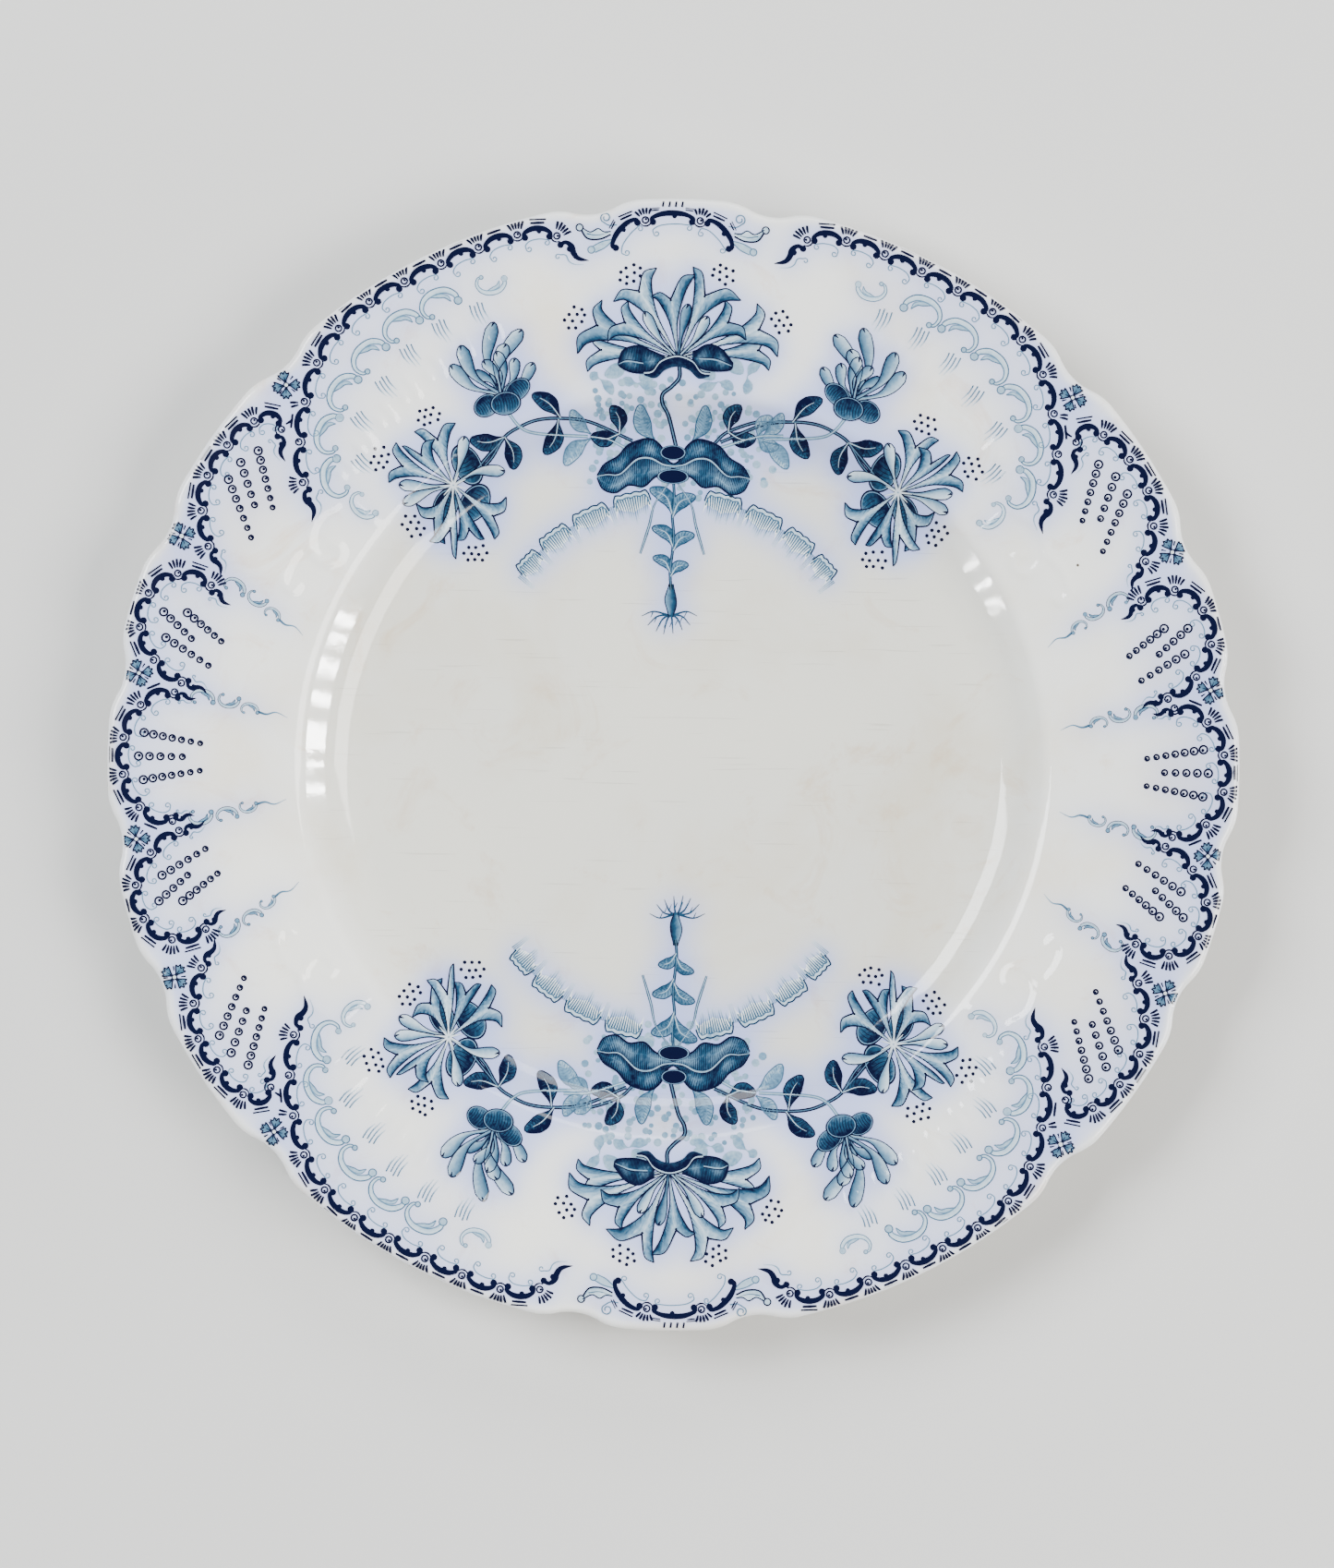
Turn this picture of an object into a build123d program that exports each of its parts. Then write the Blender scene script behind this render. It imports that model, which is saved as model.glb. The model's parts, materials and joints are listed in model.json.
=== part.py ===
"""Lobed china dinner plate, in its physical layers: the fired body, the printed films laid on the body's face,
and the glaze coats that seal them in.

Origin at the centre of the foot ring, on the surface that the plate stands on. +Z is up, and +Y points to one
of the two flower sprays. Millimetres and degrees.
"""

import os
from math import cos, hypot, radians, sin, tan

from build123d import *

os.makedirs("parts", exist_ok=True)

# Edge, seen from above: one circle with a shallow notch between each two lobes.
plate_radius = 132.0  # centre to the crest of a lobe
notch_depth = 2.3
notch_radius = 14.0  # hollow of a notch
notch_blend = 14.0  # rounded shoulder on each side of a notch
quarter_notches = (8.5, 24.0, 45.0, 81.0)  # angles from +X, mirrored into the other quarters

# Section of the face, from the axis outwards.
floor_top = 6.2
verge_start = 78.2  # where the floor's line meets the verge's
verge_radius = 13.0
shoulder_reach = 87.3  # where the verge's line meets the rim's
shoulder_top = 14.4
shoulder_radius = 6.0
rim_slope = 11.0
rim_thickness = 3.2
edge_radius = 1.45

# Section of the back, from the rim inwards.
under_shoulder_reach = 90.0
under_shoulder_top = 11.1
under_radius = 8.0
outer_foot_height = 3.4
foot_flare = 1.7  # how much wider the foot ring is where it joins the base
foot_reach = 80.6  # outer side of the foot ring at the table
foot_width = 3.0
foot_corner = 0.6
foot_height = 2.0  # the base stands clear of the table by this much

# Layers, from the glazed surface inwards.
glaze = 0.25
ink = 0.08  # a printed film, under the glaze
dry_foot = 0.6  # the foot ring is wiped bare below this height

# Printed fields, seen from above.
print_margin = 1.2  # all of them stop this far inside the edge
field_gap = 0.5
sprig_reach, sprig_radius = 126.0, 3.1  # the small single flowers, one by each notch of the sides
sprig_angles = (8.8, 24.0, 43.5)
edge_field_reach, edge_field_half_angle = 117.5, 10.5
side_field_reach, side_field_half_angle = 88.5, 43.5
corner_field_reach, corner_field_angles = 92.0, (32.5, 78.8)
corner_field_width, corner_field_foot = 90.5, 48.0  # it comes down beside the outermost lobe of a side
spray_field_reaches, spray_field_angles = (60.0, 111.0), (56.0, 124.0)
top_flower, top_flower_radii = (0, 104), (30, 14)
side_flower, side_flower_radii = (55, 65.5), (16.5, 18.5)
pendant_width, pendant_span = 16.0, (29, 70)
shell_centre, shell_reaches, shell_angles = (0, 14), (41, 51.6), (36, 144)

overshoot = 6.0  # how far the turned blank runs past the lobes before they are cut
tall = 40.0  # taller than the plate


def polar(reach, angle):
    """A point at that distance and angle from the centre."""
    return (reach * cos(radians(angle)), reach * sin(radians(angle)))


def four_ways(angle):
    """An angle of the first quarter with its mirror images in the other three."""
    return (angle, 180 - angle, 180 + angle, 360 - angle)


def lobed_outline(inset):
    """The plate's edge seen from above, drawn in by inset."""
    cutter_reach = plate_radius - notch_depth + notch_radius
    notch_angles = [a for angle in quarter_notches for a in four_ways(angle)]
    with BuildSketch() as outline:
        Circle(plate_radius - inset)
        with Locations(*[polar(cutter_reach, angle) for angle in notch_angles]):
            Circle(notch_radius + inset, mode=Mode.SUBTRACT)
        notch_corners = [v for v in outline.vertices() if abs(v.Y) > 1]  # all but the circle's own seam
        fillet(notch_corners, radius=notch_blend - inset)
    return outline.sketch


def turned_section(inset):
    """Half the plate's section before its lobes are cut, drawn in by inset all round."""
    blank_reach = plate_radius + overshoot
    blank_top = shoulder_top + (blank_reach - shoulder_reach) * tan(radians(rim_slope))
    past_axis = -verge_radius  # the section runs past the axis, so that drawing it in leaves no hole there
    foot_inner = foot_reach - foot_width
    corners = [
        ((past_axis, floor_top), 0),
        ((verge_start, floor_top), verge_radius),
        ((shoulder_reach, shoulder_top), shoulder_radius),
        ((blank_reach, blank_top), 0),
        ((blank_reach, blank_top - rim_thickness), 0),
        ((under_shoulder_reach, under_shoulder_top), under_radius),
        ((foot_reach + foot_flare, outer_foot_height), foot_corner),
        ((foot_reach, 0), foot_corner),
        ((foot_inner, 0), foot_corner),
        ((foot_inner - foot_flare, foot_height), foot_corner),
        ((past_axis, foot_height), 0),
    ]
    with BuildSketch(Plane.XZ) as section:
        with BuildLine():
            FilletPolyline(*[point for point, _ in corners], radius=[r for _, r in corners], close=True)
        make_face()
        if inset:
            offset(amount=-inset, kind=Kind.INTERSECTION)
        split(bisect_by=Plane.YZ)
    return section.sketch


def on_cut_rim(edge):
    """True for the edges around the cut rim, above and below, and false for the short ones between lobes."""
    middle = edge @ 0.5
    level = abs((edge @ 0).Z - (edge @ 1).Z) < rim_thickness / 2
    return level and hypot(middle.X, middle.Y) > plate_radius - 2 * notch_depth


def plate_form(inset):
    """The whole plate as one solid, drawn in by inset from its glazed surface."""
    with BuildPart() as form:
        add(turned_section(inset))
        revolve(axis=Axis.Z)
        add(lobed_outline(inset))
        extrude(amount=tall, mode=Mode.INTERSECT)
        fillet(form.edges().filter_by(on_cut_rim), radius=edge_radius - inset)
    return form.part


def sector(reaches, angles):
    """A flat piece of a ring, between two distances from the centre and two angles."""
    (inner, outer), (start, stop) = reaches, angles
    middle = (start + stop) / 2
    with BuildSketch() as shape:
        with BuildLine():
            ThreePointArc(polar(outer, start), polar(outer, middle), polar(outer, stop))
            Line(polar(outer, stop), polar(inner, stop))
            ThreePointArc(polar(inner, stop), polar(inner, middle), polar(inner, start))
            Line(polar(inner, start), polar(outer, start))
        make_face()
    return shape.sketch


def sprig_field(gap=0):
    """The single flowers by the three notches of each quarter that are nearest the sides."""
    with BuildSketch() as field:
        with Locations(*[polar(sprig_reach, a) for angle in sprig_angles for a in four_ways(angle)]):
            Circle(sprig_radius + gap)
    return field.sketch


def edge_field():
    """The scrolls along the small lobe beyond a spray."""
    angles = (90 - edge_field_half_angle, 90 + edge_field_half_angle)
    with BuildSketch() as field:
        add(sector((edge_field_reach, plate_radius), angles))
        add(spray_field(field_gap), mode=Mode.SUBTRACT)
    return field.sketch


def shell_field(gap=0):
    """The band of shells that closes the well's picture."""
    inner, outer = shell_reaches
    with BuildSketch() as field:
        with Locations(shell_centre):
            add(sector((inner - gap, outer + gap), shell_angles))
            with Locations((0, (pendant_span[0] + pendant_span[1]) / 2 - shell_centre[1])):
                Rectangle(pendant_width - 2 * gap, pendant_span[1] - pendant_span[0], mode=Mode.SUBTRACT)
    return field.sketch


def spray_field(gap=0):
    """The flowers: an arch across the verge, the top and side flowers, and the pendant in the well."""
    (inner, outer), (start, stop) = spray_field_reaches, spray_field_angles
    with BuildSketch() as field:
        add(sector((inner - gap, outer + gap), (start, stop)))
        add(shell_field(field_gap), mode=Mode.SUBTRACT)
        with Locations(top_flower):
            Ellipse(top_flower_radii[0] + gap, top_flower_radii[1] + gap)
        with Locations(side_flower, (-side_flower[0], side_flower[1])):
            Ellipse(side_flower_radii[0] + gap, side_flower_radii[1] + gap)
        with Locations((0, (pendant_span[0] + pendant_span[1]) / 2)):
            Rectangle(pendant_width - 2 * field_gap, pendant_span[1] - pendant_span[0])
    return field.sketch


def side_field(gap=0):
    """The five scroll-edged lobes on the +X side."""
    half_angle = side_field_half_angle + gap
    with BuildSketch() as field:
        add(sector((side_field_reach, plate_radius), (-half_angle, half_angle)))
        for side in (1, -1):
            with Locations((0, side * corner_field_foot)):
                Rectangle(
                    2 * corner_field_width - 2 * gap,
                    plate_radius,
                    align=(Align.CENTER, Align.MIN if side > 0 else Align.MAX),
                    mode=Mode.SUBTRACT,
                )
        add(sprig_field(field_gap), mode=Mode.SUBTRACT)
    return field.sketch


def corner_field():
    """The scrolls of the large lobe in the first quarter, which follow its edge and then turn inwards."""
    with BuildSketch() as field:
        add(sector((corner_field_reach, plate_radius), corner_field_angles))
        add(side_field(field_gap), mode=Mode.SUBTRACT)
        add(spray_field(field_gap), mode=Mode.SUBTRACT)
        add(sprig_field(field_gap), mode=Mode.SUBTRACT)
    return field.sketch


north = {"edge": edge_field(), "spray": spray_field(), "shells": shell_field()}
corner = corner_field()
print_fields = {f"print_{name}_north": field for name, field in north.items()}
print_fields |= {f"print_{name}_south": field.rotate(Axis.Z, 180) for name, field in north.items()}
print_fields |= {
    "print_side_east": side_field(),
    "print_side_west": side_field().rotate(Axis.Z, 180),
    "print_corner_north_east": corner,
    "print_corner_south_west": corner.rotate(Axis.Z, 180),
    "print_corner_north_west": corner.mirror(Plane.YZ),
    "print_corner_south_east": corner.mirror(Plane.XZ),
    "print_sprigs": sprig_field(),
}

# The same plate three times: with its glaze, with only its print, and bare.
glazed_form = plate_form(0)
inked_form = plate_form(glaze - ink)
bare_form = plate_form(glaze)

with BuildPart() as ink_layer:
    add(inked_form)
    add(bare_form, mode=Mode.SUBTRACT)
    add(lobed_outline(print_margin))
    extrude(amount=tall, mode=Mode.INTERSECT)
face_ink = ink_layer.solids().sort_by(Axis.Z)[-1]

films = []
for name, field in print_fields.items():
    with BuildPart() as film:
        add(field)
        extrude(amount=tall, dir=(0, 0, 1))
        add(face_ink, mode=Mode.INTERSECT)
    film.part.label = name
    films.append(film.part)

with BuildPart() as earthenware_body:
    add(glazed_form)
    with BuildSketch(Plane.XY.offset(dry_foot)):
        Circle(plate_radius + overshoot)
    extrude(amount=tall, mode=Mode.SUBTRACT)
    add(bare_form)
earthenware_body.part.label = "earthenware_body"

with BuildPart() as all_glaze:
    add(glazed_form)
    add(earthenware_body.part, mode=Mode.SUBTRACT)
    add(films, mode=Mode.SUBTRACT)
base_coat, main_coat = all_glaze.solids().sort_by(SortBy.VOLUME)

# The coat of the face runs over the rim and down the back to the foot ring.
with BuildPart() as main_glaze:
    add(main_coat)
main_glaze.part.label = "main_glaze"

# The foot ring's bare edge cuts this round coat off from the rest.
with BuildPart() as base_glaze:
    add(base_coat)
base_glaze.part.label = "base_glaze"

for piece in (earthenware_body.part, main_glaze.part, base_glaze.part, *films):
    export_step(piece, f"parts/{piece.label}.step")
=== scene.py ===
"""Blue-and-white china dinner plate with a lobed rim: its glazed skin and its print, round the CAD part.

The print is drawn in plan, in millimetres from the centre of the plate, as complex numbers x + y*1j. Its
shapes are small meshes that lie on the face of the plate.
"""

import json
from contextlib import contextmanager

import bmesh
import bpy
import numpy as np
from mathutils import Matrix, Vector

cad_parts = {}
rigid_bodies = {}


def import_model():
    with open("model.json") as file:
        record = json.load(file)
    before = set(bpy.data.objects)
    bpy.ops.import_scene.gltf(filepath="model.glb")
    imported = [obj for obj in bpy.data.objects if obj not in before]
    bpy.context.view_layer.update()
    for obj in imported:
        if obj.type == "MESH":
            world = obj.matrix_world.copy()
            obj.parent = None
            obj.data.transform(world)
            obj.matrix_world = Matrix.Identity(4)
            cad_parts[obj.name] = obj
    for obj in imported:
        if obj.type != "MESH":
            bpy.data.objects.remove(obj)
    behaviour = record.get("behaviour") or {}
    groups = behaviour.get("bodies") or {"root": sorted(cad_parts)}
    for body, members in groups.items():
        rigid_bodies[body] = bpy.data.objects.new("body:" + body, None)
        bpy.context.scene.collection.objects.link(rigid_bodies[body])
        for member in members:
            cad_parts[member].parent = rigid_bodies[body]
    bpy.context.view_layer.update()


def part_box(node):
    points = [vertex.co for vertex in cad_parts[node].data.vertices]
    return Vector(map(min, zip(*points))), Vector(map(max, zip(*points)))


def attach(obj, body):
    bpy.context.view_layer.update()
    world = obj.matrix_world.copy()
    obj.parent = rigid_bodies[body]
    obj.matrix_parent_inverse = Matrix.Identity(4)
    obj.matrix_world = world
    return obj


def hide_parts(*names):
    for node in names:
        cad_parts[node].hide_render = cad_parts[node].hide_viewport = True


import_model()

MM = 0.001
rng = np.random.default_rng(11)

# Shape of the plate
PLATE_R = round(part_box("main_glaze")[1][0] / MM, 2)
NOTCH_DEPTH, NOTCH_R = 2.3, 14.0
FLOOR_Z, SHOULDER_R, SHOULDER_Z = 6.2, 87.3, 14.4
RIM_SLOPE = np.tan(np.radians(11.0))
RIM_THICKNESS, EDGE_R = 3.2, 1.45
BLANK_R = PLATE_R + 6.0
GLAZE = 0.25
DRY_FOOT = round(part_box("main_glaze")[0][2] / MM, 2)
BASE_Z = 2.0


def polar(reach, degrees):
    return reach * np.exp(1j * np.radians(degrees))


def four_ways(quarter):
    """Angles of the first quarter, each with its mirror images in the other three."""
    return [a for q in quarter for a in (q, 180 - q, 180 + q, 360 - q)]


NOTCHES = four_ways((8.5, 24.0, 45.0, 81.0))


def spaced(count):
    """Numbers from 0 to 1, evenly spaced."""
    return np.linspace(0, 1, count)


def circle(corners):
    """The unit circle, closed."""
    return np.exp(1j * np.linspace(0, 2 * np.pi, corners + 1))


def smoothstep(x, low, high):
    t = np.clip((x - low) / (high - low), 0, 1)
    return t * t * (3 - 2 * t)


def rim_inset(degrees):
    """How far the lobed edge lies inside the plate's full circle, at these angles."""
    cutter = PLATE_R - NOTCH_DEPTH + NOTCH_R
    blend = PLATE_R - NOTCH_R
    turn = np.arccos((cutter**2 + blend**2 - (2 * NOTCH_R) ** 2) / (2 * cutter * blend))
    meeting = (cutter + blend * np.exp(1j * turn)) / 2
    inset = np.zeros_like(degrees, dtype=float)
    for notch in NOTCHES:
        off = np.abs(np.radians((degrees - notch + 180) % 360 - 180))
        hollow = off <= np.angle(meeting)
        shoulder = ~hollow & (off < turn)
        across = np.sqrt(np.maximum(NOTCH_R**2 - (cutter * np.sin(off)) ** 2, 0))
        inset[hollow] = (PLATE_R - cutter * np.cos(off) + across)[hollow]
        lean = turn - off
        reach = blend * np.cos(lean) + np.sqrt(np.maximum(NOTCH_R**2 - (blend * np.sin(lean)) ** 2, 0))
        inset[shoulder] = (PLATE_R - reach)[shoulder]
    return inset


def section(corners):
    """A line in the half plane, from corners of (radius, height, rounding, spacing before it)."""
    at = [complex(r, z) for r, z, _, _ in corners]
    line = [at[0]]
    for i in range(1, len(at)):
        r, spacing = corners[i][2], corners[i][3]
        into = (at[i] - at[i - 1]) / abs(at[i] - at[i - 1])
        cut = 0.0
        if r:
            out = (at[i + 1] - at[i]) / abs(at[i + 1] - at[i])
            bend = np.angle(out / into)
            cut = r * np.tan(abs(bend) / 2)
        stop = at[i] - into * cut
        steps = max(1, int(np.ceil(abs(stop - line[-1]) / spacing)))
        line += list(line[-1] + (stop - line[-1]) * np.arange(1, steps + 1) / steps)
        if r:
            centre = stop + into * 1j * np.sign(bend) * r
            steps = max(4, int(np.ceil(abs(bend) * r / min(spacing, r / 4))))
            line += list(centre + (stop - centre) * np.exp(1j * bend * np.arange(1, steps + 1) / steps))
    return np.array(line)


def blank_top(r):
    return SHOULDER_Z + (r - SHOULDER_R) * RIM_SLOPE


UNDER_R, UNDER_Z = 90.0, 11.1
UNDER_SLOPE = (blank_top(BLANK_R) - RIM_THICKNESS - UNDER_Z) / (BLANK_R - UNDER_R)
FOOT_OUT, FOOT_IN, FOOT_FLARE, FOOT_TOP = 80.6, 77.6, 1.7, 3.4
foot_cut = FOOT_OUT + FOOT_FLARE * DRY_FOOT / FOOT_TOP
inner_cut = FOOT_IN - FOOT_FLARE * DRY_FOOT / BASE_Z
FACE = section(
    [
        (0, FLOOR_Z, 0, 0),
        (78.2, FLOOR_Z, 13.0, 0.7),
        (SHOULDER_R, SHOULDER_Z, 6.0, 0.45),
        (PLATE_R, blank_top(PLATE_R), EDGE_R, 0.7),
        (PLATE_R, UNDER_Z + (PLATE_R - UNDER_R) * UNDER_SLOPE, EDGE_R, 0.3),
        (UNDER_R, UNDER_Z, 8.0, 1.5),
        (FOOT_OUT + FOOT_FLARE, FOOT_TOP, 0.6, 0.8),
        (foot_cut, DRY_FOOT, 0, 0.4),
    ]
)
face_top = FACE[: np.argmax(FACE.real) + 1]


# Fields over the plan
class Field:
    """A map of the plate in cells, for its moulded relief and for the blue that bled out of the print."""

    cell, half = 0.25, 136.0
    count = int(2 * half / cell)

    def __init__(self):
        self.map = np.zeros((self.count, self.count))

    def add(self, plan, weight):
        ix = ((plan.real + self.half) / self.cell).astype(int).ravel()
        iy = ((plan.imag + self.half) / self.cell).astype(int).ravel()
        weight = np.broadcast_to(weight, plan.shape).ravel()
        inside = (ix >= 0) & (iy >= 0) & (ix < self.count) & (iy < self.count)
        np.add.at(self.map, (iy[inside], ix[inside]), weight[inside])

    def ridge(self, plan, height, width):
        """A rounded ridge along a line of evenly close points."""
        gaps = np.abs(np.diff(plan))
        self.add((plan[1:] + plan[:-1]) / 2, height * width * np.sqrt(2 * np.pi) * gaps / self.cell**2)

    def blurred(self, width):
        waves = np.fft.fftfreq(self.count, self.cell)
        fall = np.exp(-2 * (np.pi * width * waves) ** 2)
        soft = Field()
        soft.map = np.fft.ifft2(np.fft.fft2(self.map) * fall[:, None] * fall[None, :]).real
        return soft

    def at(self, plan):
        x = np.clip((plan.real + self.half) / self.cell - 0.5, 0, self.count - 1.001)
        y = np.clip((plan.imag + self.half) / self.cell - 0.5, 0, self.count - 1.001)
        ix, iy = x.astype(int), y.astype(int)
        fx, fy = x - ix, y - iy
        low = self.map[iy, ix] * (1 - fx) + self.map[iy, ix + 1] * fx
        high = self.map[iy + 1, ix] * (1 - fx) + self.map[iy + 1, ix + 1] * fx
        return low * (1 - fy) + high * fy


def smooth(points, step=0.35):
    """A smooth line through the points, as a row of plan points about one step apart."""
    p = np.asarray(points, complex)
    if len(p) == 2:
        return p[0] + (p[1] - p[0]) * spaced(max(2, int(abs(p[1] - p[0]) / step) + 1))
    ends = np.concatenate([[2 * p[0] - p[1]], p, [2 * p[-1] - p[-2]]])
    line = []
    for a, b, c, d in zip(ends, ends[1:], ends[2:], ends[3:]):
        t = np.linspace(0, 1, max(3, int(abs(c - b) / step) + 1), endpoint=False)
        square, cube = 2 * a - 5 * b + 4 * c - d, 3 * b - a - 3 * c + d
        line.append((2 * b + (c - a) * t + square * t**2 + cube * t**3) / 2)
    return np.concatenate([*line, [p[-1]]])


def lengths(line):
    return np.concatenate([[0], np.cumsum(np.abs(np.diff(line)))])


def evenly(line, count):
    along = lengths(line)
    return np.interp(np.linspace(0, along[-1], count), along, line)


def normals(line):
    tangent = np.gradient(line)
    return 1j * tangent / np.maximum(np.abs(tangent), 1e-9)


def bowed(base, tip, bend):
    """A smooth line from base to tip that bends to its left by a share of its length."""
    return smooth([base, base + (tip - base) * 0.5 + 1j * (tip - base) * bend, tip])


def sides(spine, wide):
    """The left and the right edge of a band along a line."""
    half = normals(spine) * wide / 2
    return spine + half, spine - half


FOUR_WAYS = [dict(turn=turn, flip=flip) for turn in (0, np.pi) for flip in (False, True)]


def mirrored(line):
    """The line drawn for the north-west quarter, in each of the four quarters."""
    return [np.exp(1j * w["turn"]) * (np.conj(line) if w["flip"] else line) for w in FOUR_WAYS]


def moulded_relief():
    """Flutes between the lobes and small moulded scrolls, as height above the turned face."""
    broad, fine = Field(), Field()
    for notch in NOTCHES:
        broad.ridge(polar(np.linspace(101, 129, 80), notch), 0.22, 1.9)
    scroll = smooth([-79 + 60j, -84 + 57j, -86 + 51j, -83 + 46j, -79 + 47j, -79 + 50j, -81.5 + 50.5j])
    tendril = smooth([-86 + 51j, -90 + 47j, -92 + 42j, -90 + 39j, -88 + 41j])
    leaf = smooth([-77 + 61j, -73 + 57j, -70 + 55j])
    lines = [*mirrored(scroll), *mirrored(tendril), *mirrored(leaf)]
    for k in range(7):
        way = 113 + 4.2 * k
        lines += mirrored(polar(np.linspace(107 - k, 113 - k, 24), way))
        lines += mirrored(polar(np.linspace(108 - k, 111 - k, 12), way + 1.6))
    for line in lines:
        fine.ridge(line, 0.34, 0.8)
    broad, fine = broad.blurred(1.9), fine.blurred(0.8)
    broad.map += fine.map
    return broad


relief_map = moulded_relief()


def relief(plan):
    """Height of the moulding and of the verge's slight waviness, the unevenness of hand turning."""
    reach, turn = np.abs(plan), np.angle(plan)
    moulded = relief_map.at(plan) * (1 - smoothstep(reach + rim_inset(np.degrees(turn)), 127.5, 130))
    wave = np.sin(9 * turn + 1) + 0.7 * np.sin(16 * turn + 2.2) + 0.5 * np.sin(31 * turn)
    verge = 0.045 * wave * smoothstep(reach, 76, 82) * (1 - smoothstep(reach, 88, 94))
    return moulded + verge


def face_height(plan):
    """Height of the glazed face over these plan points."""
    inset = rim_inset(np.degrees(np.angle(plan)))
    inset = np.where(np.abs(plan) > 118, inset, 0)
    reach = np.minimum(np.abs(plan) + inset, face_top[-1].real)
    return np.interp(reach, face_top.real, face_top.imag) - inset * RIM_SLOPE + relief(plan)


# Meshes
def added(name, data):
    """A new object of the scene."""
    made = bpy.data.objects.new(name, data)
    bpy.context.scene.collection.objects.link(made)
    return made


def mesh_piece(name, points, faces, key, values):
    """A smooth mesh from points in millimetres, joined where they coincide, with one set of point values."""
    mesh = bpy.data.meshes.new(name)
    mesh.vertices.add(len(points))
    mesh.vertices.foreach_set("co", (points * MM).ravel())
    mesh.loops.add(faces.size)
    mesh.loops.foreach_set("vertex_index", faces.ravel())
    mesh.polygons.add(len(faces))
    mesh.polygons.foreach_set("loop_start", np.arange(len(faces)) * faces.shape[1])
    mesh.update(calc_edges=True)
    mesh.attributes.new(key, "FLOAT", "POINT").data.foreach_set("value", values)
    shape = bmesh.new()
    shape.from_mesh(mesh)
    bmesh.ops.remove_doubles(shape, verts=shape.verts, dist=1e-7)
    shape.to_mesh(mesh)
    shape.free()
    mesh.validate()
    mesh.polygons.foreach_set("use_smooth", np.ones(len(mesh.polygons), bool))
    piece = added(name, mesh)
    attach(piece, "root")
    return piece


def turned(name, line, count, shape, tint):
    """A closed coat: the line turned round the axis, with a skin of the glaze's thickness behind it."""
    inner = line - normals(line) * GLAZE
    loop = np.concatenate([line, inner[::-3], inner[:1]])
    degrees = np.arange(count) * 360 / count
    points = shape(loop[:, None], degrees[None, :], np.arange(len(loop))[:, None]).reshape(-1, 3)
    index = np.arange(len(points)).reshape(-1, count)
    nxt = np.roll(index, -1, axis=1)
    faces = np.stack([index[1:], nxt[1:], nxt[:-1], index[:-1]], -1).reshape(-1, 4)
    return mesh_piece(name, points, faces, "bleed", tint(points))


# Drawing
bleed = Field()
LIFT, LAYER_LIFT, TURN_LIFT, LEVEL_LIFT = 0.045, 0.005, 0.0004, 0.012
TURNS = 12  # a patch lies a little higher than the one before it, and every twelfth one starts again
PRINT_MARGIN = 0.45  # the print stays this far inside the edge
CLEARANCE = 1.9  # between the dashes of one chain and the next chain


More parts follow.
